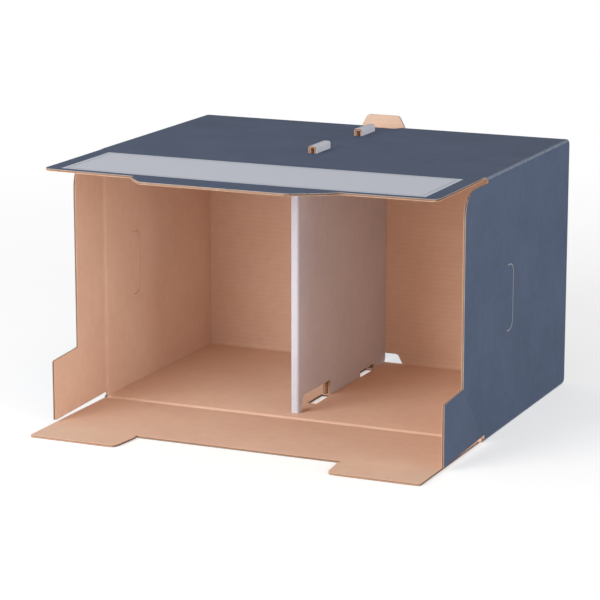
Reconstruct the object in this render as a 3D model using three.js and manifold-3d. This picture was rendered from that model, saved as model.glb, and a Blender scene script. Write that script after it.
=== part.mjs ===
// Archive storage box for lever arch files, open at the front, in millimetres.
// One die-cut corrugated sheet is folded into the carton, its lid, its front flap and its two
// side flaps. A second folded sheet stands in the middle as the divider.
// +X is the box's right, +Y its back and +Z up. The origin is the centre of the bottom panel.

import * as THREE from 'three';
import { mergeVertices } from 'three/addons/utils/BufferGeometryUtils.js';
import Module from 'manifold-3d';

const wasm = await Module();
wasm.setup();

// Board and clearances
const board = 3;
const dividerBoard = 2.5;
const seatGap = 0.3;
const hingeGap = 0.4;
const hingeLand = 0.15;
const flapSideClearance = 1;
const foldedFlapClearance = 0.5;

// Carton
const width = 530;
const depth = 322;
const height = 333;
const rearFoldRadius = 8;

// Lid with its tongue
const lidLength = 157;
const lidCornerRadius = 12;
const tongueHalfWidth = 130;
const tongueTipHalfWidth = 96;
const tongueStraight = 17;
const tongueLength = 63;
const tongueCornerRadius = 6;
const tongueBend = THREE.MathUtils.degToRad(5);
const tongueCreaseFromRoot = 40;

// Front flap with its recess for the tongue
const frontFlapLength = 205;
const frontFlapCornerRadius = 4;
const recessDepth = 50;
const recessClearance = 7;
const recessFlare = 5;
const recessLipRadius = 10;
const recessHookRadius = 2.5;
const earCreaseFromRecess = 7;

// Side flaps
const sideFlapTopDrop = 7;
const sideFlapStripWidth = 77;
const sideFlapShoulderRadius = 34;
const sideFlapStepHeight = 86;
const sideFlapStepFall = 4;
const sideFlapFootWidth = 141;
const sideFlapSlotAtHinge = 6;
const sideFlapSlotAtTip = 1.5;
const sideFlapCornerRadius = 3;

// Pressed creases
const creaseWidth = 2.4;
const creaseDepth = 0.6;
const creaseEndMargin = 8;

// Hand holes, die-cut but still closed
const handHoleFromCrease = 84;
const handHoleHeight = 86;
const handHoleWidth = 32;
const handHoleKerf = 0.8;
const handHoleHinge = 9;

// Divider and its stacking tabs
const dividerThickness = 11;
const dividerSetback = 18;
const dividerFoldRadius = 3;
const tabLength = 46;
const tabFromCrease = [74, 226];
const tabRise = 9.5;
const slotSideClearance = 0.7;
const slotEndClearance = 1;
const dividerFootLength = 11;
const dividerFootHeight = 24;
const dividerFootRake = 4;

// Rear stacking tab
const rearTabBase = 62;
const rearTabTip = 46;
const rearTabRise = 15;
const rearTabCornerRadius = 4;
const rearTabClearance = 1;

// Places worked out from the sizes
const lipFront = -depth / 2;
const back = depth / 2;
const sideCrease = lipFront + board + foldedFlapClearance;
const halfWidth = width / 2;
const innerHalfWidth = halfWidth - board;
const flapHalfWidth = innerHalfWidth - flapSideClearance;
const hingeChamfer = board - hingeLand;
const recessHalfWidth = tongueHalfWidth + recessClearance;
const recessFloor = frontFlapLength - recessDepth;
const dividerFront = sideCrease + dividerSetback;
const dividerBack = back - board - seatGap;
const tabStarts = tabFromCrease.map((fromCrease) => sideCrease + fromCrease);
const curveSteps = 6;
const beyond = 5;

const materials = {
  slate: new THREE.MeshStandardMaterial({ color: 0x566070, roughness: 0.82, metalness: 0 }),
  white: new THREE.MeshStandardMaterial({ color: 0xd9dbe2, roughness: 0.78, metalness: 0 }),
};

// A closed outline through corners [x, y, radius], each corner eased by its radius.
function outline(corners) {
  const shape = new THREE.Shape();
  corners.forEach(([x, y, radius = 0], i) => {
    const corner = new THREE.Vector2(x, y);
    const before = corners[(i + corners.length - 1) % corners.length];
    const after = corners[(i + 1) % corners.length];
    const towards = ([nx, ny]) => new THREE.Vector2(nx, ny).sub(corner).setLength(radius).add(corner);
    const start = radius ? towards(before) : corner;
    if (i === 0) shape.moveTo(start.x, start.y);
    else shape.lineTo(start.x, start.y);
    if (radius) {
      const end = towards(after);
      shape.quadraticCurveTo(x, y, end.x, end.y);
    }
  });
  shape.closePath();
  return shape;
}

// A closed geometry as a solid that can be joined and cut.
function solid(geometry) {
  geometry.deleteAttribute('normal');
  geometry.deleteAttribute('uv');
  const merged = mergeVertices(geometry, 1e-5);
  return new wasm.Manifold(new wasm.Mesh({
    numProp: 3,
    vertProperties: new Float32Array(merged.attributes.position.array),
    triVerts: new Uint32Array(merged.index.array),
  }));
}

function extrude(shape, from, to, right, up, along) {
  const geometry = new THREE.ExtrudeGeometry(shape, {
    depth: to - from,
    bevelEnabled: false,
    curveSegments: curveSteps,
  });
  geometry.translate(0, 0, from);
  geometry.applyMatrix4(new THREE.Matrix4().makeBasis(right, up, along));
  return solid(geometry);
}

const axisX = new THREE.Vector3(1, 0, 0);
const axisY = new THREE.Vector3(0, 1, 0);
const axisZ = new THREE.Vector3(0, 0, 1);

// A side profile [y, z] drawn across from x = from to x = to.
function acrossX(shape, from, to) {
  return extrude(shape, from, to, axisY, axisZ, axisX);
}

// A plan outline [x, y] drawn up from z = from to z = to.
function upZ(shape, from, to) {
  return extrude(shape, from, to, axisX, axisY, axisZ);
}

// A front outline [x, z] drawn from y = from back to y = to.
function backY(shape, from, to) {
  return extrude(shape, -to, -from, axisX, axisZ, axisY.clone().negate());
}

function rectangle(x0, y0, x1, y1) {
  return outline([[x0, y0], [x1, y0], [x1, y1], [x0, y1]]);
}

function block(x0, x1, y0, y1, z0, z1) {
  return upZ(rectangle(x0, y0, x1, y1), z0, z1);
}

function mirrored(half) {
  return [...half, ...half.toReversed().map(([x, y, radius]) => [-x, y, radius])];
}

function mesh(name, body, material) {
  const made = body.getMesh();
  const geometry = new THREE.BufferGeometry();
  geometry.setAttribute('position', new THREE.BufferAttribute(made.vertProperties, 3));
  geometry.setIndex(new THREE.BufferAttribute(made.triVerts, 1));
  geometry.computeVertexNormals();
  const result = new THREE.Mesh(geometry, material);
  result.name = name;
  return result;
}

// Carton: bottom, back, top and sides

// A V-shaped crease, pressed into a face along the middle of its open side.
function creaseProfile(middle, face, inwards) {
  const half = creaseWidth / 2;
  return outline([
    [middle - half, face - inwards * beyond],
    [middle - half, face],
    [middle, face + inwards * creaseDepth],
    [middle + half, face],
    [middle + half, face - inwards * beyond],
  ]);
}

function rearTabOutline(z0, clearance) {
  const baseHalf = rearTabBase / 2 + clearance;
  const tipHalf = rearTabTip / 2 + clearance;
  const tip = z0 + rearTabRise + clearance;
  return outline(mirrored([[baseHalf, z0], [tipHalf, tip, rearTabCornerRadius]]));
}

// The C-shaped knife cut round a hand hole: its front side stays joined as a hinge.
function handHoleKerfCut() {
  const y0 = sideCrease + handHoleFromCrease - handHoleWidth / 2;
  const z0 = (height - handHoleHeight) / 2;
  const round = handHoleWidth / 2;
  const ring = (inset) => outline([
    [y0 + inset, z0 + inset, round - inset],
    [y0 + handHoleWidth - inset, z0 + inset, round - inset],
    [y0 + handHoleWidth - inset, z0 + handHoleHeight - inset, round - inset],
    [y0 + inset, z0 + handHoleHeight - inset, round - inset],
  ]);
  const across = halfWidth + beyond;
  const cut = acrossX(ring(0), -across, across).subtract(acrossX(ring(handHoleKerf), -across, across));
  return cut.subtract(block(-across, across, y0 - beyond, y0 + handHoleHinge, z0, z0 + handHoleHeight));
}

function carton() {
  const outside = outline([
    [lipFront, 0],
    [back, 0, rearFoldRadius],
    [back, height, rearFoldRadius],
    [lipFront, height],
  ]);
  const innerFold = rearFoldRadius - board;
  const inside = outline([
    [lipFront - beyond, board],
    [back - board, board, innerFold],
    [back - board, height - board, innerFold],
    [lipFront - beyond, height - board],
  ]);
  let body = acrossX(outside, -halfWidth, halfWidth)
    .subtract(acrossX(inside, -innerHalfWidth, innerHalfWidth));

  // The side panels stop at their own crease, behind the creases of the lid and the front flap.
  body = body.subtract(block(
    -halfWidth - beyond, halfWidth + beyond, lipFront - beyond, sideCrease, board, height - board,
  ));

  // Creases are relieved on the inside, so each flap can turn about its outer face.
  const lipRelief = outline([
    [lipFront - beyond, hingeLand],
    [lipFront, hingeLand],
    [lipFront + hingeChamfer, board],
    [lipFront + hingeChamfer, board + beyond],
    [lipFront - beyond, board + beyond],
  ]);
  const bottomRelief = acrossX(lipRelief, -halfWidth - beyond, halfWidth + beyond)
    .subtract(block(-halfWidth - 2 * beyond, halfWidth + 2 * beyond, sideCrease, back, 0, height));
  const topRelief = bottomRelief.mirror([0, 0, 1]).translate([0, 0, height]);
  body = body.subtract(bottomRelief).subtract(topRelief);
  const sideRelief = upZ(outline([
    [halfWidth - hingeLand, sideCrease],
    [halfWidth - board, sideCrease + hingeChamfer],
    [halfWidth - board - beyond, sideCrease + hingeChamfer],
    [halfWidth - board - beyond, sideCrease - beyond],
    [halfWidth - hingeLand, sideCrease - beyond],
  ]), board, height - board);
  body = body.subtract(sideRelief).subtract(sideRelief.mirror([1, 0, 0]));

  // Slots above take this divider's tabs, slots below those of the box underneath.
  const slotHalf = dividerThickness / 2 + slotSideClearance;
  for (const start of tabStarts) {
    body = body.subtract(block(
      -slotHalf, slotHalf,
      start - slotEndClearance, start + tabLength + slotEndClearance,
      -beyond, height + beyond,
    ));
  }

  // The rear tab is cut out of the top panel and stays upright in line with the back.
  const window = upZ(outline(mirrored([
    [rearTabBase / 2, back - board],
    [rearTabTip / 2, back - board - rearTabRise, rearTabCornerRadius],
  ])), height - board - beyond, height + beyond);
  const tabFoot = height - rearFoldRadius - beyond;
  const tab = backY(rearTabOutline(height, 0), back - board, back)
    .add(block(-rearTabBase / 2, rearTabBase / 2, back - board, back, tabFoot, height));
  body = body.subtract(window).add(tab);

  // A notch of the same outline at the foot of the back takes the tab of the box below.
  const notch = backY(rearTabOutline(0, rearTabClearance), back - board - rearTabClearance, back + beyond);
  const notchMouth = block(
    -rearTabBase / 2 - rearTabClearance, rearTabBase / 2 + rearTabClearance,
    back - board - rearTabClearance, back + beyond, -beyond, 0.1,
  );
  return body.subtract(notch).subtract(notchMouth).subtract(handHoleKerfCut());
}

// Lid with its tongue

function lid() {
  const hingeEnd = lipFront - hingeGap;
  const root = lipFront - lidLength;
  const reach = tongueLength + beyond;
  const tipY = root - reach * Math.cos(tongueBend);
  const tipRise = reach * Math.sin(tongueBend);
  const profile = outline([
    [hingeEnd, height],
    [root, height],
    [tipY, height + tipRise],
    [tipY, height + tipRise - board],
    [root, height - board],
    [hingeEnd - hingeChamfer, height - board],
    [hingeEnd, height - hingeLand],
  ]);
  const plan = outline(mirrored([
    [flapHalfWidth, lipFront],
    [flapHalfWidth, root, lidCornerRadius],
    [tongueHalfWidth, root, tongueCornerRadius],
    [tongueHalfWidth, root - tongueStraight, tongueCornerRadius],
    [tongueTipHalfWidth, root - tongueLength, tongueCornerRadius],
  ]));
  const creaseAt = root - tongueCreaseFromRoot;
  const creaseFace = height + tongueCreaseFromRoot * Math.tan(tongueBend);
  const crease = acrossX(creaseProfile(creaseAt, creaseFace, -1), -tongueHalfWidth, tongueHalfWidth);
  const sheet = acrossX(profile, -halfWidth, halfWidth);
  return sheet.intersect(upZ(plan, height - 2 * board, height + tipRise + beyond)).subtract(crease);
}

// Front flap with its recess

function frontFlap() {
  const hingeEnd = lipFront - hingeGap;
  const tip = lipFront - frontFlapLength;
  const floor = lipFront - recessFloor;
  const profile = outline([
    [hingeEnd, 0],
    [hingeEnd, hingeLand],
    [hingeEnd - hingeChamfer, board],
    [tip, board],
    [tip, 0],
  ]);
  const plan = outline(mirrored([
    [flapHalfWidth, lipFront],
    [flapHalfWidth, tip, frontFlapCornerRadius],
    [recessHalfWidth + recessFlare, tip, recessLipRadius],
    [recessHalfWidth, floor],
  ]));
  const hook = (side) => upZ(
    new THREE.Shape().absarc(side * recessHalfWidth, floor, recessHookRadius, 0, 2 * Math.PI),
    -beyond, board + beyond,
  );
  const crease = acrossX(
    creaseProfile(floor - earCreaseFromRecess, 0, 1), -halfWidth, halfWidth,
  );
  return acrossX(profile, -halfWidth, halfWidth)
    .intersect(upZ(plan, -beyond, board + beyond))
    .subtract(hook(1))
    .subtract(hook(-1))
    .subtract(crease);
}

// Side flap, drawn for the right side

function sideFlap() {
  const hingeEnd = sideCrease - hingeGap;
  const stripFront = sideCrease - sideFlapStripWidth;
  const footFront = sideCrease - sideFlapFootWidth;
  const top = height - sideFlapTopDrop;
  const side = outline([
    [hingeEnd, board + sideFlapSlotAtHinge],
    [hingeEnd, top],
    [stripFront, top, sideFlapShoulderRadius],
    [stripFront, sideFlapStepHeight],
    [footFront, sideFlapStepHeight - sideFlapStepFall, sideFlapCornerRadius],
    [footFront, board + sideFlapSlotAtTip, sideFlapCornerRadius],
  ]);
  const plan = outline([
    [halfWidth, hingeEnd],
    [halfWidth - hingeLand, hingeEnd],
    [innerHalfWidth, hingeEnd - hingeChamfer],
    [innerHalfWidth, footFront - beyond],
    [halfWidth, footFront - beyond],
  ]);

  // The pressed crease that runs from the foot of the hinge up to the step, short of both.
  const start = new THREE.Vector2(hingeEnd, board + sideFlapSlotAtHinge);
  const end = new THREE.Vector2(stripFront, sideFlapStepHeight);
  const along = end.clone().sub(start).setLength(creaseEndMargin);
  const across = along.clone().rotateAround(new THREE.Vector2(), Math.PI / 2);
  across.setLength(creaseWidth / 2);
  start.add(along);
  end.sub(along);
  const crease = acrossX(outline([
    [start.x - across.x, start.y - across.y],
    [start.x + across.x, start.y + across.y],
    [end.x + across.x, end.y + across.y],
    [end.x - across.x, end.y - across.y],
  ]), halfWidth - creaseDepth, halfWidth + beyond);
  return acrossX(side, innerHalfWidth - beyond, halfWidth + beyond)
    .intersect(upZ(plan, 0, height))
    .subtract(crease);
}

// Divider, folded to a U in plan, with two tabs folded over its top edge

function divider() {
  const bottom = board + seatGap;
  const top = height - board - seatGap;
  const half = dividerThickness / 2;
  const hollowHalf = half - dividerBoard;
  const foldedPlan = outline([
    [half, dividerBack],
    [-half, dividerBack],
    [-half, dividerFront, dividerFoldRadius],
    [half, dividerFront, dividerFoldRadius],
  ]);
  const plySide = outline([
    [dividerFront, bottom],
    [dividerBack, bottom, rearFoldRadius],
    [dividerBack, top, rearFoldRadius],
    [dividerFront, top],
  ]);
  let body = upZ(foldedPlan, bottom, top).intersect(acrossX(plySide, -half, half));
  const tabTop = height + tabRise;
  for (const start of tabStarts) {
    body = body.add(backY(outline([
      [-half, top - beyond],
      [half, top - beyond],
      [half, tabTop, dividerFoldRadius],
      [-half, tabTop, dividerFoldRadius],
    ]), start, start + tabLength));
  }
  body = body.subtract(block(
    -hollowHalf, hollowHalf, dividerFront + dividerBoard, dividerBack + beyond,
    bottom - beyond, tabTop - dividerBoard,
  ));

  // The lower edge stands on a foot in front and is notched over the tabs of the box below.
  const footEnd = dividerFront + dividerFootLength;
  const firstEnd = tabStarts[0] + tabLength + slotEndClearance;
  const relief = acrossX(outline([
    [footEnd, bottom - beyond],
    [firstEnd, bottom - beyond],
    [firstEnd, dividerFootHeight, dividerFoldRadius],
    [footEnd + dividerFootRake, dividerFootHeight, dividerFoldRadius],
  ]), -half - beyond, half + beyond);
  const notch = block(
    -half - beyond, half + beyond,
    tabStarts[1] - slotEndClearance, tabStarts[1] + tabLength + slotEndClearance,
    bottom - beyond, tabRise + slotEndClearance,
  );
  return body.subtract(relief).subtract(notch);
}

// The box, with its flaps open

const box = new THREE.Group();
box.add(mesh('carton', carton(), materials.slate));
box.add(mesh('lid', lid(), materials.slate));
box.add(mesh('front_flap', frontFlap(), materials.slate));
box.add(mesh('side_flap_right', sideFlap(), materials.slate));
box.add(mesh('side_flap_left', sideFlap().mirror([1, 0, 0]), materials.slate));
box.add(mesh('centre_divider', divider(), materials.white));

export default box;
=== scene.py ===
import math

import bmesh
import bpy
import numpy as np
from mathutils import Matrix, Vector
from mathutils.geometry import delaunay_2d_cdt


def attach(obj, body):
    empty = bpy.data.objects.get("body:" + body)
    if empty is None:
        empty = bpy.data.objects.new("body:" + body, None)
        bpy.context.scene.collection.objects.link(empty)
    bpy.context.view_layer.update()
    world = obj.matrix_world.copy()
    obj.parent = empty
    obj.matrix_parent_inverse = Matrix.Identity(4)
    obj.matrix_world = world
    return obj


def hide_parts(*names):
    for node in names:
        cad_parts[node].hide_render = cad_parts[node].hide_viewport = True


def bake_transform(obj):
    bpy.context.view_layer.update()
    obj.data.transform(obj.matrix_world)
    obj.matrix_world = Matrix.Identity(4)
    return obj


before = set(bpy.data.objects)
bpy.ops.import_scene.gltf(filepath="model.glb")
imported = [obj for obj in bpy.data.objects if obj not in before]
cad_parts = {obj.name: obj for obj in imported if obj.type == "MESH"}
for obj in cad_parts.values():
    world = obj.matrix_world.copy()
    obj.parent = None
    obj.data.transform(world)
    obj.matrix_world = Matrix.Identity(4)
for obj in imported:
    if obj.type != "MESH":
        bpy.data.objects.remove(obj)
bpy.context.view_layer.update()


# Carton
# The middle of one die-cut sheet of corrugated board: bottom, back and top in one strip, and two
# sides. It is folded along pressed creases and glued. The board is two paper liners on a wavy
# fluting; the outer liner is white paper printed slate, the inner one bare kraft.

board = 3.0
liner = 0.4
fluting_paper = 0.25
flute_pitch = 6.5
flute_samples = 8

width = 530.0
depth = 322.0
height = 333.0
rear_fold_radius = 8.0
side_fold_radius = 3.0
hinge_gap = 0.4
hinge_land = 0.15
folded_flap_clearance = 0.5

half_width = width / 2
lip_front = -depth / 2
back = depth / 2
side_crease = lip_front + board + folded_flap_clearance


def linear(colour):
    """The linear colour of an sRGB hex value."""
    channels = [int(colour[i:i + 2], 16) / 255 for i in (1, 3, 5)]
    return [c / 12.92 if c <= 0.04045 else ((c + 0.055) / 1.055) ** 2.4 for c in channels] + [1.0]


def node(tree, kind, links=None, **settings):
    """Add a node with its settings; links gives each input's value or the output it comes from."""
    made = tree.nodes.new(kind)
    for name, value in settings.items():
        setattr(made, name, value)
    for socket, value in (links or {}).items():
        if isinstance(value, bpy.types.NodeSocket):
            tree.links.new(value, made.inputs[socket])
        else:
            made.inputs[socket].default_value = value
    return made


def paper(name, light, dark, fleck_and_sheen_colour, roughness, ridge, fleck, field=None):
    """A paper face of the board. Its sheet coordinates run along the flutes and across them."""
    material = bpy.data.materials.new(name)
    material.use_nodes = True
    tree = material.node_tree
    tree.nodes.clear()
    sheet = node(tree, "ShaderNodeUVMap", uv_map="sheet").outputs["UV"]
    axes = node(tree, "ShaderNodeSeparateXYZ", {"Vector": sheet})
    turn = node(tree, "ShaderNodeMath", {0: axes.outputs["Y"], 1: 2 * math.pi / (flute_pitch / 1000)},
                operation="MULTIPLY")
    flutes = node(tree, "ShaderNodeMath", {0: turn.outputs[0]}, operation="COSINE").outputs[0]

    # Paper fibres lie along the machine direction, across the flutes: about 5 mm by 1.2 mm.
    stretched = node(tree, "ShaderNodeVectorMath",
                     {0: sheet, 1: (1 / 0.0012, 1 / 0.005, 1.0)}, operation="MULTIPLY")
    fibres = node(tree, "ShaderNodeTexNoise",
                  {"Vector": stretched.outputs[0], "Scale": 1.0, "Detail": 3.0}).outputs["Fac"]
    # Cloudy formation of the paper, about 14 mm, and the slow cockle of the glued board, 90 mm.
    cloud = node(tree, "ShaderNodeTexNoise",
                 {"Vector": sheet, "Scale": 1 / 0.014, "Detail": 4.0}).outputs["Fac"]
    cockle = node(tree, "ShaderNodeTexNoise",
                  {"Vector": sheet, "Scale": 1 / 0.09, "Detail": 1.0}).outputs["Fac"]

    tone = node(tree, "ShaderNodeMath", {0: flutes, 1: ridge, 2: 0.5}, operation="MULTIPLY_ADD")
    for source, amount in ((cloud, 0.9), (fibres, 0.5), (cockle, 0.9)):
        centred = node(tree, "ShaderNodeMath", {0: source, 1: 0.5}, operation="SUBTRACT")
        tone = node(tree, "ShaderNodeMath",
                    {0: centred.outputs[0], 1: amount, 2: tone.outputs[0]}, operation="MULTIPLY_ADD")
    face = node(tree, "ShaderNodeMix",
                {"Factor": tone.outputs[0], "A": linear(dark), "B": linear(light)}, data_type="RGBA")
    colour = face.outputs["Result"]

    # Small flecks: bark and recycled fibre in the paper, one in about 6 mm.
    speck = node(tree, "ShaderNodeTexVoronoi", {"Vector": sheet, "Scale": 1 / 0.006})
    dot = node(tree, "ShaderNodeMapRange",
               {"Value": speck.outputs["Distance"],
                "From Min": 0.10, "From Max": 0.04, "To Max": fleck})
    mixed = node(tree, "ShaderNodeMix",
                 {"Factor": dot.outputs["Result"], "A": colour, "B": linear(fleck_and_sheen_colour)}, data_type="RGBA")
    colour = mixed.outputs["Result"]

    # Where the sheet is folded it is painted lighter: a painted highlight on the rolled fold, together
    # with the face cracking so that the paper underneath shows.
    sheen_and_wear_mask = node(tree, "ShaderNodeAttribute", attribute_name="sheen_and_wear").outputs["Fac"]
    grain = node(tree, "ShaderNodeTexNoise",
                 {"Vector": sheet, "Scale": 1 / 0.004, "Detail": 3.0}).outputs["Fac"]
    reach = node(tree, "ShaderNodeMath", {0: sheen_and_wear_mask, 1: grain}, operation="MULTIPLY")
    crack_and_sheen = node(tree, "ShaderNodeMapRange",
                 {"Value": reach.outputs[0], "From Min": 0.18, "From Max": 0.62, "To Max": 0.75})
    mixed = node(tree, "ShaderNodeMix",
                 {"Factor": crack_and_sheen.outputs["Result"], "A": colour, "B": linear(fleck_and_sheen_colour)}, data_type="RGBA")
    colour = mixed.outputs["Result"]
    if field:
        colour = field(tree, axes, colour)

    # Relief in mm: washboard of 0.1 over the flutes, fibres of 0.03, cloudiness of 0.1, cockle of 0.6.
    height_mm = node(tree, "ShaderNodeMath", {0: flutes, 1: 0.05, 2: 0.0}, operation="MULTIPLY_ADD")
    for source, amount in ((fibres, 0.06), (cloud, 0.2), (cockle, 1.2)):
        height_mm = node(tree, "ShaderNodeMath",
                         {0: source, 1: amount, 2: height_mm.outputs[0]}, operation="MULTIPLY_ADD")
    relief = node(tree, "ShaderNodeBump",
                  {"Strength": 1.0, "Distance": 0.001, "Height": height_mm.outputs[0]})
    gloss = node(tree, "ShaderNodeMapRange",
                 {"Value": cloud, "To Min": roughness - 0.08, "To Max": roughness + 0.08})
    shader = node(tree, "ShaderNodeBsdfPrincipled",
                  {"Base Color": colour, "Roughness": gloss.outputs["Result"], "IOR": 1.45,
                   "Specular IOR Level": 0.03, "Normal": relief.outputs["Normal"]})
    node(tree, "ShaderNodeOutputMaterial", {"Surface": shader.outputs["BSDF"]})
    return material


# Flexographic ink on white-top liner: matt slate blue, with the flutes just showing through.
# The pale third colour is for flecks, and for the folds: a painted highlight on the rolled folds with
# the print cracked there.
slate_print = paper("flexo_slate_print", "#616c83", "#535e73", "#98a0ad", 0.70, 0.10, 0.08)
# Bleached top ply of the printed liner, seen only where it is cut: off-white.
white_edge = paper("white_liner_cut_edge", "#d9d3cf", "#c4bab3", "#b49a86", 0.85, 0.0, 0.1)
# Unbleached kraft liner: warm brown, cloudy, with flecks and faint lines over the flutes.
kraft_liner = paper("kraft_liner", "#f3d3ba", "#eac3ab", "#bf9074", 0.80, 0.10, 0.30)
# Semichemical fluting paper: duller and darker brown.
kraft_fluting = paper("kraft_fluting", "#cda88c", "#b89276", "#94735a", 0.88, 0.0, 0.3)


def outline(corners, steps=6):
    """Points round a closed outline through corners (x, y, radius), each eased by its radius."""
    points = []
    for i, corner in enumerate(corners):
        at = Vector(corner[:2])
        radius = corner[2] if len(corner) > 2 else 0
        if not radius:
            points.append(at)
            continue
        before = Vector(corners[i - 1][:2])
        after = Vector(corners[(i + 1) % len(corners)][:2])
        start = at + (before - at).normalized() * radius
        end = at + (after - at).normalized() * radius
        for k in range(steps + 1):
            t = k / steps
            points.append(start * (1 - t) ** 2 + at * 2 * t * (1 - t) + end * t * t)
    return points


def mirrored(half):
    """A whole outline from its right half."""
    return [*half, *((-corner[0], *corner[1:]) for corner in reversed(half))]


def cut_sheet(loops, across=(), along=(), marks=()):
    """Triangles inside the first loop and outside the others, split along ruled lines."""
    points = []
    edges = []
    for loop in loops:
        first = len(points)
        points += [Vector(point) for point in loop]
        edges += [(first + i, first + (i + 1) % len(loop)) for i in range(len(loop))]
    low = [min(point[k] for point in loops[0]) for k in (0, 1)]
    high = [max(point[k] for point in loops[0]) for k in (0, 1)]
    lines = [((low[0] - 1, v), (high[0] + 1, v)) for v in across if low[1] < v < high[1]]
    lines += [((u, low[1] - 1), (u, high[1] + 1)) for u in along if low[0] < u < high[0]]
    for start, end in [*lines, *marks]:
        edges.append((len(points), len(points) + 1))
        points += [Vector(start), Vector(end)]
    corners, _, triangles, *_ = delaunay_2d_cdt(points, edges, [], 0, 1e-5, False)
    grid = np.array([tuple(corner) for corner in corners])
    triangles = np.array([tuple(triangle) for triangle in triangles])
    middle = grid[triangles].mean(axis=1)
    inside = np.zeros(len(middle), bool)
    for loop in loops:
        for i, (x0, y0) in enumerate(loop):
            x1, y1 = loop[(i + 1) % len(loop)]
            if y0 == y1:
                continue
            spans = (y0 > middle[:, 1]) != (y1 > middle[:, 1])
            crossing = x0 + (middle[:, 1] - y0) * (x1 - x0) / (y1 - y0)
            inside ^= spans & (middle[:, 0] < crossing)
    kept = triangles[inside]
    used, places = np.unique(kept, return_inverse=True)
    return grid[used].tolist(), places.reshape(-1, 3).tolist()


def piece(name, corners, faces, materials):
    """A mesh object from corners in millimetres, with its faces turned outwards."""
    mesh = bpy.data.meshes.new(name)
    mesh.from_pydata([[c / 1000 for c in corner] for corner in corners], [], faces)
    made = bmesh.new()
    made.from_mesh(mesh)
    bmesh.ops.recalc_face_normals(made, faces=made.faces)
    made.to_mesh(mesh)
    made.free()
    for material in materials:
        mesh.materials.append(material)
    mesh.shade_smooth()
    mesh.set_sharp_from_angle(angle=math.radians(32))
    result = bpy.data.objects.new(name, mesh)
    bpy.context.scene.collection.objects.link(result)
    return result


def layer(name, sheet, place, low, high, materials, sheen_and_wear=None):
    """One paper of the board, from depth low to depth high below the outer face."""
    points, triangles = sheet
    count = len(points)
    corners = [place(u, v, low(u, v)) for u, v in points]
    corners += [place(u, v, high(u, v)) for u, v in points]
    sides = [(t[i], t[(i + 1) % 3]) for t in triangles for i in range(3)]
    paired = set(sides)
    rim = [(a, b) for a, b in sides if (b, a) not in paired]
    faces = [(c, b, a) for a, b, c in triangles]
    faces += [(a + count, b + count, c + count) for a, b, c in triangles]
    faces += [(a, b, b + count, a + count) for a, b in rim]
    made = piece(name, corners, faces, materials)
    mesh = made.data
    shares = [0] * len(triangles) + [min(2, len(materials) - 1)] * len(triangles)
    shares += [min(1, len(materials) - 1)] * len(rim)
    mesh.polygons.foreach_set("material_index", shares)
    index = np.empty(len(mesh.loops), int)
    mesh.loops.foreach_get("vertex_index", index)
    flat = np.array(points)[index % count] / 1000
    mesh.uv_layers.new(name="sheet").data.foreach_set("uv", flat.ravel())
    # Mask of the painted fold highlight and cracked print, read by the paper shader.
    if sheen_and_wear:
        sheen_and_wear_mask = [sheen_and_wear(u, v) for u, v in points] * 2
        mesh.attributes.new("sheen_and_wear", "FLOAT", "POINT").data.foreach_set("value", sheen_and_wear_mask)
    return made


def uncrushed(v):
    """A board with no fold keeps its full thickness."""
    return board


# The creasing rule leaves a soft trough on the inside of each fold.
crease_reach = 5.5
crease_lines = [0.5 * k for k in range(1, 12)]
fluting_trim = 2.1
lining_trim = 1.66


def crushed_board(distance):
    """Thickness of the board this far from a fold."""
    share = min(1.0, max(0.0, distance / crease_reach))
    return hinge_land + (board - hinge_land) * share * share * (3 - 2 * share)


def undented(u, v):
    """A board with no crease pressed into its outer face."""
    return 0.0


def corrugated(name, cut, place, crushed=uncrushed, dent=undented, across=(), along=(),
               marks=(), sheen_and_wear=None, papers=None, thickness=board, ride="box", hinged=True, face=None):
    """Liner, fluting and liner of one piece of board. cut(trim) gives its outline and holes, and
    face gives the outer liner's own cut and ruled lines where they differ."""
    printed, edge, inner, waved = papers or (slate_print, white_edge, kraft_liner, kraft_fluting)
    trims = [liner - hinge_land, fluting_trim, lining_trim]
    if not hinged:
        trims = [0, 0, 0]
    face_cut, face_across, face_along = face or (cut, across, along)
    outer = layer(
        f"{name}_outer_liner",
        cut_sheet(face_cut(trims[0]), face_across, face_along, marks), place,
        dent, lambda u, v: dent(u, v) + liner, [printed, edge], sheen_and_wear,
    )
    loops = cut(trims[1])
    first = math.floor(min(point[1] for point in loops[0]) / flute_pitch)
    last = math.ceil(max(point[1] for point in loops[0]) / flute_pitch)
    samples = range(first * flute_samples, last * flute_samples)
    waves = [flute_pitch * i / flute_samples for i in samples]

    def wave(u, v, side):
        floor = dent(u, v) + liner
        roof = min(crushed(v), thickness) - liner
        swing = max(0, (roof - floor - fluting_paper) / 2)
        middle = (roof + floor) / 2 + swing * math.cos(2 * math.pi * v / flute_pitch)
        return middle + side * min(fluting_paper, roof - floor) / 2

    fluting = layer(
        f"{name}_fluting", cut_sheet(loops, waves, along, marks), place,
        lambda u, v: wave(u, v, -1), lambda u, v: wave(u, v, 1), [waved],
    )
    lining = layer(
        f"{name}_inner_liner", cut_sheet(cut(trims[2]), across, along, marks), place,
        lambda u, v: min(crushed(v), thickness) - liner, lambda u, v: min(crushed(v), thickness),
        [inner],
    )
    made = [outer, fluting, lining]
    for part in made:
        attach(part, ride)
    return made


# The strip is measured from the front of the bottom, round the back, to the front of the top.
flat_run = depth - rear_fold_radius
bend_run = math.pi * rear_fold_radius / 2
rise_run = height - 2 * rear_fold_radius
strip_run = 2 * flat_run + 2 * bend_run + rise_run
flat_half = half_width - side_fold_radius


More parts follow.
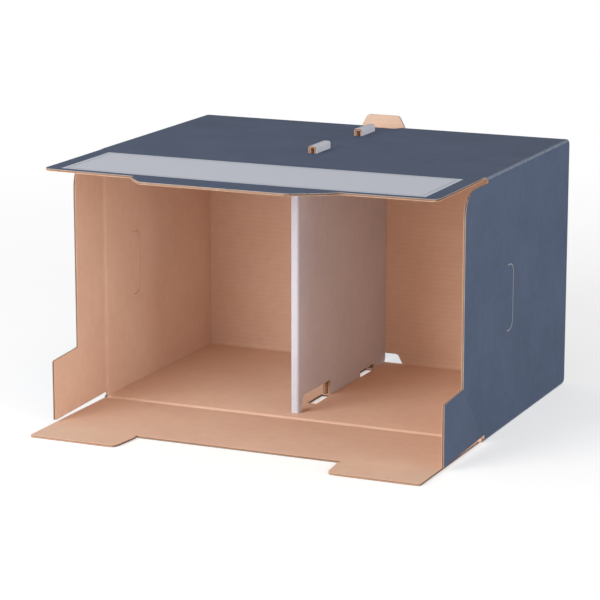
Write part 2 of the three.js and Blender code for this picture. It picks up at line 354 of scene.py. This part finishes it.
def strip_profile(v):
    """Place of the strip's outer face in side view, and the direction into the board."""
    if v <= flat_run:
        return (lip_front + v, 0.0), (0.0, 1.0)
    v -= flat_run
    centre = back - rear_fold_radius
    if v <= bend_run:
        turn = v / rear_fold_radius
        away = (math.sin(turn), -math.cos(turn))
        return (centre + away[0] * rear_fold_radius,
                rear_fold_radius + away[1] * rear_fold_radius), (-away[0], -away[1])
    v -= bend_run
    if v <= rise_run:
        return (back, rear_fold_radius + v), (-1.0, 0.0)
    v -= rise_run
    if v <= bend_run:
        turn = v / rear_fold_radius
        away = (math.cos(turn), math.sin(turn))
        return (centre + away[0] * rear_fold_radius,
                height - rear_fold_radius + away[1] * rear_fold_radius), (-away[0], -away[1])
    v -= bend_run
    return (centre - v, height), (0.0, -1.0)


def strip_place(u, v, n):
    """The strip's edges roll over into the sides on a small radius."""
    (y, z), (into_y, into_z) = strip_profile(min(max(v, 0.0), strip_run))
    over = abs(u) - flat_half
    if over <= 0:
        return u, y + into_y * n, z + into_z * n
    turn = over / side_fold_radius
    reach = side_fold_radius - n
    sink = side_fold_radius - reach * math.cos(turn)
    return math.copysign(flat_half + reach * math.sin(turn), u), y + into_y * sink, z + into_z * sink


def strip_crushed(v):
    return crushed_board(min(v, strip_run - v))


# Slots take the divider's tabs above and the tabs of a box below.
slot_half = 6.2
slot_run = 48.0
slot_starts = [76.5, 228.5]
tab_base_half = 31.0
tab_tip_half = 23.0
tab_rise = 15.0
tab_corner_radius = 4.0
notch_base_half = 32.0
notch_tip_half = 24.0
notch_top = 16.0
top_end = strip_run - flat_run


def strip_holes():
    """Slots in bottom and top, the window of the rear tab and the notch for the tab below."""
    holes = []
    for start in slot_starts:
        for low in (start, strip_run - start - slot_run):
            high = low + slot_run
            holes.append(outline([
                (-slot_half, low), (slot_half, low), (slot_half, high), (-slot_half, high),
            ]))
    # The rear tab is cut out of the top panel, so its window starts at the foot of the fold.
    window_end = top_end + tab_rise + board - rear_fold_radius
    holes.append(outline(mirrored([
        (tab_base_half, top_end - bend_run),
        (tab_base_half, top_end - bend_run / 2),
        (tab_tip_half, window_end, tab_corner_radius),
    ])))
    notch_end = flat_run + bend_run + notch_top - rear_fold_radius
    holes.append(outline(mirrored([
        (notch_base_half, flat_run + bend_run / 3),
        (notch_tip_half, notch_end, tab_corner_radius),
    ])))
    return holes


rolled_half = flat_half + math.pi * side_fold_radius / 2
roll_steps = 5
fold_steps = 8
roll_lines = [
    side * (flat_half + k * (rolled_half - flat_half) / roll_steps)
    for side in (1, -1) for k in range(roll_steps)
]
fold_lines = [
    start + bend_run * k / fold_steps
    for start in (flat_run, top_end - bend_run) for k in range(fold_steps + 1)
]
lip_lines = crease_lines + [strip_run - line for line in crease_lines]


def strip_cut(half):
    """The strip's cut at this half width."""
    def cut(trim):
        end = strip_run - trim
        return [outline([(-half, trim), (half, trim), (half, end), (-half, end)]), *strip_holes()]
    return cut


# The print is painted lighter where it rolls over into the sides, starting just short of the roll: a
# painted highlight on the fold, with the print rubbed there too.
sheen_and_wear_start = 1.5


def strip_sheen_and_wear(u, v):
    return min(1.0, max(0.0, (abs(u) - flat_half + sheen_and_wear_start) / (2 * sheen_and_wear_start)))


sheen_and_wear_lines = [side * (flat_half - sheen_and_wear_start) for side in (1, -1)]
strip_parts = corrugated(
    "carton_strip", strip_cut(flat_half), strip_place, crushed=strip_crushed,
    across=fold_lines + lip_lines, sheen_and_wear=strip_sheen_and_wear,
    face=(strip_cut(rolled_half), fold_lines, roll_lines + sheen_and_wear_lines),
)
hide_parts("carton")

# Each side panel stands between bottom and top, and has a hand hole that is cut but still closed.
side_run = back - side_fold_radius - side_crease
corner_radius = rear_fold_radius - side_fold_radius
hand_hole_start = 68.0
hand_hole_width = 32.0
hand_hole_height = 86.0
hand_hole_kerf = 0.8
hand_hole_hinge = 9.0
large_steps = 10
sheen_and_wear_end = 2.0
groove_depth = 0.25


def side_corner():
    """The lower rear corner of the side panel, on the inner side of the rolled fold."""
    points = []
    for k in range(fold_steps + 1):
        turn = math.pi / 2 * k / fold_steps
        points.append(Vector((
            side_fold_radius + corner_radius * (1 - math.cos(turn)),
            side_run - corner_radius * (1 - math.sin(turn)),
        )))
    return points


def hand_hole_side(inset):
    """One side of the C-shaped knife cut, from its lower end round the rear to its upper end."""
    low = (height - hand_hole_height) / 2 + inset
    high = (height + hand_hole_height) / 2 - inset
    near = hand_hole_start + inset
    far = hand_hole_start + hand_hole_width - inset
    radius = hand_hole_width / 2 - inset
    ring = outline([
        (low, near, radius), (low, far, radius), (high, far, radius), (high, near, radius),
    ], large_steps)
    return [point for point in ring if point.y >= hand_hole_start + hand_hole_hinge]


hand_hole_cut = hand_hole_side(0) + hand_hole_side(hand_hole_kerf)[::-1]


def swept_faces(size, count):
    """Faces round a bar of so many equal sections, each of this size, with both ends closed."""
    faces = []
    for i in range(count - 1):
        for k in range(size):
            near = size * i + k
            after = size * i + (k + 1) % size
            faces.append((near, after, after + size, near + size))
    faces += [tuple(range(size)), tuple(range(size * (count - 1), size * count))]
    return faces


def side_cut(trim):
    low = side_fold_radius
    high = height - side_fold_radius
    lower = side_corner()
    upper = [Vector((height - point.x, point.y)) for point in reversed(lower)]
    return [[Vector((low, trim)), *lower, *upper, Vector((high, trim))], hand_hole_cut]


def side_sheen_and_wear(u, v):
    """The last of the painted fold highlight and rub beside the rolled folds."""
    edge = min(u - side_fold_radius, height - side_fold_radius - u, side_run - v)
    return min(0.5, max(0.0, 0.5 - edge / (2 * sheen_and_wear_end)))


# Each side panel's mask paints its edges beside the rolled folds lighter: painted highlight with rubbed
# print.
for side, sign in (("right", 1), ("left", -1)):
    def side_place(u, v, n, sign=sign):
        return sign * (half_width - n), side_crease + v, u

    corrugated(
        f"carton_side_{side}", side_cut, side_place, crushed=crushed_board,
        across=[*crease_lines, side_run - sheen_and_wear_end],
        along=[side_fold_radius + sheen_and_wear_end, height - side_fold_radius - sheen_and_wear_end],
        sheen_and_wear=side_sheen_and_wear,
    )

    # The knife leaves a shallow groove of torn white liner that shows as a pale line.
    rim = hand_hole_side(0)
    inner_rim = hand_hole_side(hand_hole_kerf)
    groove = [(a + b) / 2 for a, b in zip(rim, inner_rim)]
    corners = []
    for a, b, c in zip(rim, groove, inner_rim):
        section = ((a, 0), (b, groove_depth), (c, 0), (c, liner), (a, liner))
        corners += [side_place(point.x, point.y, n) for point, n in section]
    faces = swept_faces(len(section), len(rim))
    cut_edge = piece(f"hand_hole_cut_{side}", corners, faces, [white_edge])
    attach(cut_edge, "box")


# Rear stacking tab
# A tongue cut out of the top panel that stays upright in line with the back when the fold is
# made, so a box on top can't slide. It is the same board: kraft in front, print behind.

def rear_tab_cut(trim):
    return [outline(mirrored([
        (tab_base_half, height - rear_fold_radius),
        (tab_base_half, height),
        (tab_tip_half, height + tab_rise, tab_corner_radius),
    ]))]


corrugated(
    "rear_tab", rear_tab_cut, lambda u, v, n: (u, back - n, v), hinged=False,
)


# Lid with its tongue
# A flap of the top panel with a tongue that tucks into the front flap. The tongue is bent a
# little outwards. The print leaves a bare white field for a label, with a plain thin frame.

lid_length = 157.0
lid_corner_radius = 12.0
flap_side_clearance = 1.0
flap_half = half_width - board - flap_side_clearance
tongue_half = 130.0
tongue_flare = 5.0
tongue_tip_half = 96.0
tongue_straight = 17.0
tongue_length = 63.0
tongue_corner_radius = 6.0
tongue_flare_radius = 3.0
tongue_bend = math.radians(5)
tongue_crease = 40.0
# The lid sags a little: most in the middle, less towards its sides, and none at its crease.
lid_sag = 1.4
sag_half = flap_half + 15
sag_run = 240.0
label_half = 241.5
label_low = 20.0
label_high = 146.0


def lid_cut(trim):
    return [outline(mirrored([
        (flap_half, hinge_gap + trim),
        (flap_half, lid_length, lid_corner_radius),
        (tongue_half + tongue_flare, lid_length, tongue_flare_radius),
        (tongue_half, lid_length + tongue_straight, tongue_corner_radius),
        (tongue_tip_half, lid_length + tongue_length, tongue_corner_radius),
    ]))]


def lid_place(u, v, n):
    past = max(0.0, v - lid_length)
    y = lip_front - min(v, lid_length) - past * math.cos(tongue_bend)
    z = height - n + past * math.sin(tongue_bend)
    sag = math.cos(math.pi * u / (2 * sag_half)) * math.sin(math.pi * max(0.0, v) / sag_run)
    return u, y, z - lid_sag * sag


pressed_depth = 0.6
pressed_half = 1.2


def pressed(distance):
    """Depth of a pressed crease at a distance from its middle."""
    return pressed_depth * max(0.0, 1 - abs(distance) / pressed_half)


def pressed_lines(middle):
    return [middle - pressed_half, middle, middle + pressed_half]


# The bare white field, then the lines of its frame: how far in each colour starts, in metres.
label_steps = [(0.0, "#d9dce6"), (0.0045, "#9aa0ae"), (0.0053, "#d9dce6"), (0.0070, "#9aa0ae"),
               (0.0076, "#d9dce6")]


def label_field(tree, axes, colour):
    """The unprinted field: white liner, a hairline frame in grey inside its edge."""
    middle = (label_low + label_high) / 2000
    half_v = (label_high - label_low) / 2000
    half_u = label_half / 1000
    for inset, paint in label_steps:
        in_u = node(tree, "ShaderNodeMath", {0: axes.outputs["X"], 1: 0.0, 2: half_u - inset},
                    operation="COMPARE")
        in_v = node(tree, "ShaderNodeMath", {0: axes.outputs["Y"], 1: middle, 2: half_v - inset},
                    operation="COMPARE")
        both = node(tree, "ShaderNodeMath", {0: in_u.outputs[0], 1: in_v.outputs[0]},
                    operation="MULTIPLY")
        laid = node(tree, "ShaderNodeMix", {"Factor": both.outputs[0], "A": colour, "B": linear(paint)},
                    data_type="RGBA")
        colour = laid.outputs["Result"]
    return colour


# The same slate ink and white-top liner, with the label field left bare.
label_print = paper(
    "flexo_slate_print_label", "#616c83", "#535e73", "#98a0ad", 0.70, 0.10, 0.08, label_field,
)
# The sag needs ruled lines both ways, about as far apart as two flutes.
cross_lines = [14.5 * k for k in range(-17, 18)]
sag_lines = [2 * flute_pitch * k for k in range(1, 12)]
flap_crease_lines = [hinge_gap + line for line in crease_lines]
lid_lines = [*flap_crease_lines, *sag_lines, lid_length, *pressed_lines(lid_length + tongue_crease)]
lid_parts = corrugated(
    "lid", lid_cut, lid_place, crushed=lambda v: crushed_board(v - hinge_gap),
    dent=lambda u, v: pressed(v - lid_length - tongue_crease), across=lid_lines, along=cross_lines,
    papers=(label_print, white_edge, kraft_liner, kraft_fluting), ride="lid",
)
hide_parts("lid")


# Front flap with the recess for the tongue
# A flap of the bottom panel that lies open with its kraft face up. Its two ears stand beside a
# recess that the tongue passes through, with a crease across both ears.

front_flap_length = 205.0
front_flap_corner_radius = 4.0
recess_lip_radius = 10.0
recess_half = 137.0
recess_tip_half = 142.0
recess_floor = 155.0
hook_radius = 2.5
hook_steps = 8
ear_crease_from_recess = 7.0
ear_crease = recess_floor + ear_crease_from_recess


def front_flap_cut(trim):
    tip = front_flap_length
    half = [(flap_half, hinge_gap + trim), (flap_half, tip, front_flap_corner_radius),
            (recess_tip_half, tip, recess_lip_radius), (recess_half, recess_floor + hook_radius)]
    hook = [(recess_half + hook_radius * math.sin(a), recess_floor + hook_radius * math.cos(a))
            for a in [math.pi * k / hook_steps for k in range(1, hook_steps * 3 // 2)]]
    return [outline(mirrored([*half, *hook]))]


front_parts = corrugated(
    "front_flap", front_flap_cut, lambda u, v, n: (u, lip_front - v, n),
    crushed=lambda v: crushed_board(v - hinge_gap), dent=lambda u, v: pressed(v - ear_crease),
    across=[*flap_crease_lines, *pressed_lines(ear_crease)], ride="front_flap",
)
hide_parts("front_flap")


# Side flaps
# A flap of each side panel that folds in behind the lid and the front flap. A slot over the
# bottom panel and a stepped foot let it pass them, with one slanting crease across the foot.

side_flap_top_drop = 7.0
side_flap_top = height - side_flap_top_drop
strip_width = 77.0
step_height = 86.0
step_fall = 4.0
foot_width = 141.0
slot_at_hinge = 6.0
slot_at_tip = 1.5
shoulder_radius = 34.0
foot_corner_radius = 3.0
slant_start = Vector((board + slot_at_hinge, hinge_gap))
slant_end = Vector((step_height, strip_width))
slant = (slant_end - slant_start).normalized()
slant_margin = 8.0
slant_across = Vector((-slant.y, slant.x))
slant_marks = [
    (slant_start + slant * slant_margin + slant_across * d,
     slant_end - slant * slant_margin + slant_across * d)
    for d in pressed_lines(0)
]


def side_flap_cut(trim):
    return [outline([
        (board + slot_at_hinge, hinge_gap + trim),
        (side_flap_top, hinge_gap + trim),
        (side_flap_top, strip_width, shoulder_radius),
        (step_height, strip_width),
        (step_height - step_fall, foot_width, foot_corner_radius),
        (board + slot_at_tip, foot_width, foot_corner_radius),
    ], large_steps)]


def side_flap_dent(u, v):
    offset = Vector((u, v)) - slant_start
    run = offset.dot(slant)
    margin = slant_margin - 0.1
    if not margin < run < (slant_end - slant_start).length - margin:
        return 0.0
    return pressed(offset.dot(slant_across))


for side, sign in (("right", 1), ("left", -1)):
    side_flap_parts = corrugated(
        f"side_flap_{side}", side_flap_cut,
        lambda u, v, n, sign=sign: (sign * (half_width - n), side_crease - v, u),
        crushed=lambda v: crushed_board(v - hinge_gap), dent=side_flap_dent,
        across=flap_crease_lines, marks=slant_marks, ride=f"side_flap_{side}",
    )
    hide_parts(f"side_flap_{side}")


# Creases of the four flaps
# The board at each fold: print outside, kraft inside, pressed thin by the creasing rule. It joins flap
# and carton.

crease_section = [
    (-0.25, 0.0), (-0.1, 0.0), (0.0, 0.0), (0.1, 0.0), (0.2, 0.0), (0.3, 0.0), (0.4, 0.0), (0.5, 0.0),
    (0.65, 0.0), (0.65, 0.4), (2.06, 0.4), (2.06, 0.8), (1.3, 0.53), (0.66, 0.42), (0.4, 0.2),
    (0.2, 0.17), (0.0, 0.2), (-0.26, 0.42), (-0.9, 0.53), (-1.66, 0.8), (-1.66, 0.4), (-0.25, 0.4),
]
outer_faces = 8
crease_steps = 24


def crease(name, place, low, high):
    """The pressed strip of one fold; place(u, v, n) takes v from the carton towards the flap."""
    steps = [low + (high - low) * k / crease_steps for k in range(crease_steps + 1)]
    corners = [place(u, v, n) for u in steps for v, n in crease_section]
    faces = swept_faces(len(crease_section), len(steps))
    made = piece(name, corners, faces, [slate_print, kraft_liner])
    ring = [0 if k < outer_faces else 1 for k in range(len(crease_section))]
    made.data.polygons.foreach_set("material_index", ring * crease_steps + [1, 1])
    uv = made.data.uv_layers.new(name="sheet").data
    flat = [(u / 1000, v / 1000) for u in steps for v, n in crease_section]
    for loop in made.data.loops:
        uv[loop.index].uv = flat[loop.vertex_index]
    start = Vector(place(0, crease_section[0][0], 0)) / 1000
    end = Vector(place(0, crease_section[outer_faces][0], 0)) / 1000
    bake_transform(made)


crease("lid_crease_strip",
       lambda u, v, n: (u, lip_front - v, height - n), -flap_half, flap_half)
crease("front_flap_crease_strip",
       lambda u, v, n: (u, lip_front - v, n), -flap_half, flap_half)
for side, sign in (("right", 1), ("left", -1)):
    crease(f"side_flap_{side}_crease_strip",
           lambda u, v, n, sign=sign: (sign * (half_width - n), side_crease - v, u),
           board + slot_at_hinge, side_flap_top)


# Centre divider
# A second sheet, white outside and kraft inside, folded to a narrow U in plan so that it stands
# on its own. It is 2.5 mm board with upright flutes, notched below over the tabs of a box below.

divider_board = 2.5
divider_half = 5.5
divider_fold = 3.0
divider_setback = 18.0
seat_gap = 0.3
divider_front = side_crease + divider_setback
divider_back = back - board - seat_gap
divider_low = board + seat_gap
divider_high = height - board - seat_gap
ply_run = divider_back - divider_front - divider_fold
divider_bend = math.pi * divider_fold / 2
spine_run = 2 * (divider_half - divider_fold)
divider_run = 2 * ply_run + 2 * divider_bend + spine_run
foot_end = 11.0
foot_height = 24.0
foot_rake = 4.0
notch_corner_radius = 3.0
first_notch_end = slot_starts[0] + slot_run + lip_front - divider_front
second_notch = slot_starts[1] + lip_front - divider_front
notch_height = 10.5

# Bleached white-top liner: near white with a cool cast, flutes faintly showing.
white_liner = paper("white_top_liner", "#dcdce5", "#ceced9", "#c9b8ae", 0.72, 0.08, 0.10)


def divider_place(u, v, n):
    """From the rear of the right ply round the spine to the rear of the left ply."""
    half = divider_run / 2
    side = 1 if v <= half else -1
    run = v if v <= half else divider_run - v
    if run <= ply_run:
        return side * (divider_half - n), divider_back - run, u
    run -= ply_run
    if run <= divider_bend:
        turn = run / divider_fold
        reach = divider_fold - n
        return (side * (divider_half - divider_fold + reach * math.cos(turn)),
                divider_front + divider_fold - reach * math.sin(turn), u)
    run -= divider_bend
    return side * (divider_half - divider_fold - run), divider_front + n, u


def divider_at(distance):
    """Sheet coordinate of a point this far behind the divider's front, on the right ply."""
    return ply_run + divider_fold - distance


def divider_cut(trim):
    half = [
        (divider_high, 0, rear_fold_radius),
        (divider_low, 0, rear_fold_radius),
        (divider_low, divider_at(second_notch + slot_run)),
        (notch_height, divider_at(second_notch + slot_run)),
        (notch_height, divider_at(second_notch)),
        (divider_low, divider_at(second_notch)),
        (divider_low, divider_at(first_notch_end)),
        (foot_height, divider_at(first_notch_end), notch_corner_radius),
        (foot_height, divider_at(foot_end + foot_rake), notch_corner_radius),
        (divider_low, divider_at(foot_end)),
    ]
    far = [(corner[0], divider_run - corner[1], *corner[2:]) for corner in reversed(half)]
    return [outline([*half, *far])]


bend_steps = 6
divider_bends = [ply_run, ply_run + divider_bend + spine_run]
divider_lines = [
    start + divider_bend * k / bend_steps for start in divider_bends for k in range(bend_steps + 1)
]
divider_parts = corrugated(
    "divider", divider_cut, divider_place, crushed=lambda v: divider_board,
    across=divider_lines, papers=(white_liner, kraft_liner, kraft_liner, kraft_fluting),
    thickness=divider_board, hinged=False,
)
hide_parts("centre_divider")

# Two tabs at the top edge are folded over to an inverted U and stand up through the slots.
divider_tab_rise = 9.5
slot_end_clearance = 1.0
tab_high = height + divider_tab_rise
tab_low = divider_high
tab_leg = tab_high - divider_fold - tab_low
tab_run = 2 * tab_leg + 2 * divider_bend + spine_run
tab_length = slot_run - 2 * slot_end_clearance


def tab_place(u, v, n):
    """From the foot of the right leg over the top to the foot of the left leg."""
    half = tab_run / 2
    side = 1 if u <= half else -1
    run = u if u <= half else tab_run - u
    if run <= tab_leg:
        return side * (divider_half - n), v, tab_low + run
    run -= tab_leg
    if run <= divider_bend:
        turn = run / divider_fold
        reach = divider_fold - n
        return (side * (divider_half - divider_fold + reach * math.cos(turn)), v,
                tab_high - divider_fold + reach * math.sin(turn))
    run -= divider_bend
    return side * (divider_half - divider_fold - run), v, tab_high - n


tab_bends = [tab_leg, tab_leg + divider_bend + spine_run]
tab_lines = [
    start + divider_bend * k / bend_steps for start in tab_bends for k in range(bend_steps + 1)
]
for number, start in enumerate(slot_starts, 1):
    first = lip_front + start + slot_end_clearance

    def tab_cut(trim, first=first):
        last = first + tab_length
        return [outline([(0, first), (tab_run, first), (tab_run, last), (0, last)])]

    corrugated(
        f"divider_tab_{number}", tab_cut, tab_place, crushed=lambda v: divider_board,
        along=tab_lines, papers=(white_liner, kraft_liner, kraft_liner, kraft_fluting),
        thickness=divider_board, hinged=False,
    )


# Floor, light and camera
# A plain pale studio floor that runs out of sight, soft light from the front, and the camera
# where it stood in the photograph.

floor_half = 40.0
floor_gap = 0.0002
floor_lift = 0.46
fade_start = 0.5
fade_end = 1.9
zenith_light = 0.22
floor_corners = [(x * floor_half, y * floor_half, 0) for x, y in ((-1, -1), (1, -1), (1, 1), (-1, 1))]
floor_mesh = bpy.data.meshes.new("floor")
floor_mesh.from_pydata(floor_corners, [], [(0, 1, 2, 3)])
floor = bpy.data.objects.new("floor", floor_mesh)
floor.location.z = -floor_gap
bpy.context.scene.collection.objects.link(floor)


def seen_rays(tree):
    """One for rays from the camera, or by way of a mirror or glass, and nothing for light."""
    path = node(tree, "ShaderNodeLightPath")
    total = node(tree, "ShaderNodeMath",
                 {0: path.outputs["Is Camera Ray"], 1: path.outputs["Is Glossy Ray"]},
                 operation="ADD")
    return node(tree, "ShaderNodeMath",
                {0: total.outputs[0], 1: path.outputs["Is Transmission Ray"]},
                operation="ADD", use_clamp=True)


# Matt painted floor; camera, mirror and glass rays see it lifted to white, shadow kept.
floor_paint = bpy.data.materials.new("matt_white_floor_paint")
floor_paint.use_nodes = True
tree = floor_paint.node_tree
tree.nodes.clear()
straight = seen_rays(tree)
lift = node(tree, "ShaderNodeMath", {0: straight.outputs[0], 1: floor_lift}, operation="MULTIPLY")
glow = node(tree, "ShaderNodeEmission", {"Color": (1, 1, 1, 1), "Strength": lift.outputs[0]})
matt = node(tree, "ShaderNodeBsdfDiffuse", {"Color": (0.8, 0.8, 0.8, 1)})
both = node(tree, "ShaderNodeAddShader", {0: glow.outputs[0], 1: matt.outputs[0]})
# Away from the box the floor runs out into the white of the backdrop.
spot = node(tree, "ShaderNodeNewGeometry")
away = node(tree, "ShaderNodeVectorMath", {0: spot.outputs["Position"]}, operation="LENGTH")
fade = node(tree, "ShaderNodeMapRange",
            {"Value": away.outputs["Value"], "From Min": fade_start, "From Max": fade_end},
            interpolation_type="SMOOTHSTEP")
share = node(tree, "ShaderNodeMath", {0: fade.outputs["Result"], 1: straight.outputs[0]},
             operation="MULTIPLY")
backdrop = node(tree, "ShaderNodeEmission", {"Color": (1, 1, 1, 1), "Strength": 1.0})
floor_shader = node(tree, "ShaderNodeMixShader",
                    {0: share.outputs[0], 1: both.outputs[0], 2: backdrop.outputs[0]})
node(tree, "ShaderNodeOutputMaterial", {"Surface": floor_shader.outputs[0]})
floor_mesh.materials.append(floor_paint)

# The dome is white at the horizon and dimmer overhead; seen straight on it is white all over.
world = bpy.data.worlds.new("soft_studio")
bpy.context.scene.world = world
world.use_nodes = True
tree = world.node_tree
tree.nodes.clear()
straight = seen_rays(tree)
direction = node(tree, "ShaderNodeTexCoord")
upward = node(tree, "ShaderNodeSeparateXYZ", {"Vector": direction.outputs["Generated"]})
dome = node(tree, "ShaderNodeMapRange",
            {"Value": upward.outputs["Z"], "From Min": 0.0, "From Max": 1.0,
             "To Min": 1.0, "To Max": zenith_light})
strength = node(tree, "ShaderNodeMix",
                {"Factor": straight.outputs[0], "A": dome.outputs["Result"], "B": 1.0},
                data_type="FLOAT")
sky = node(tree, "ShaderNodeBackground",
           {"Color": (1, 1, 1, 1), "Strength": strength.outputs["Result"]})
node(tree, "ShaderNodeOutputWorld", {"Surface": sky.outputs[0]})


def lamp(name, place, aim, size, power):
    """A softbox, its size in metres and its power in watts."""
    data = bpy.data.lights.new(name, "AREA")
    data.shape = "RECTANGLE"
    data.size, data.size_y = size
    data.energy = power
    made = bpy.data.objects.new(name, data)
    made.location = place
    made.visible_camera = False
    made.rotation_euler = (Vector(aim) - Vector(place)).to_track_quat("-Z", "Y").to_euler()
    bpy.context.scene.collection.objects.link(made)


lamp("key_softbox", (-0.95, -1.95, 0.78), (0.0, -0.3, 0.05), (1.4, 0.9), 29)
lamp("side_softbox", (3.2, -0.9, 0.7), (0.0, -0.09, 0.16), (1.8, 1.0), 26)

# It stands where the photograph was taken from, worked out from the corners of the stacked boxes.
camera_data = bpy.data.cameras.new("camera")
camera_data.sensor_width = 36
camera_data.lens = 157
camera = bpy.data.objects.new("camera", camera_data)
camera.location = (1.318, -3.108, 0.893)
aim = Vector((-0.014, -0.0906, 0.1411))
camera.rotation_euler = (aim - camera.location).to_track_quat("-Z", "Y").to_euler()
bpy.context.scene.collection.objects.link(camera)
bpy.context.scene.camera = camera
bpy.context.scene.view_settings.view_transform = "Standard"
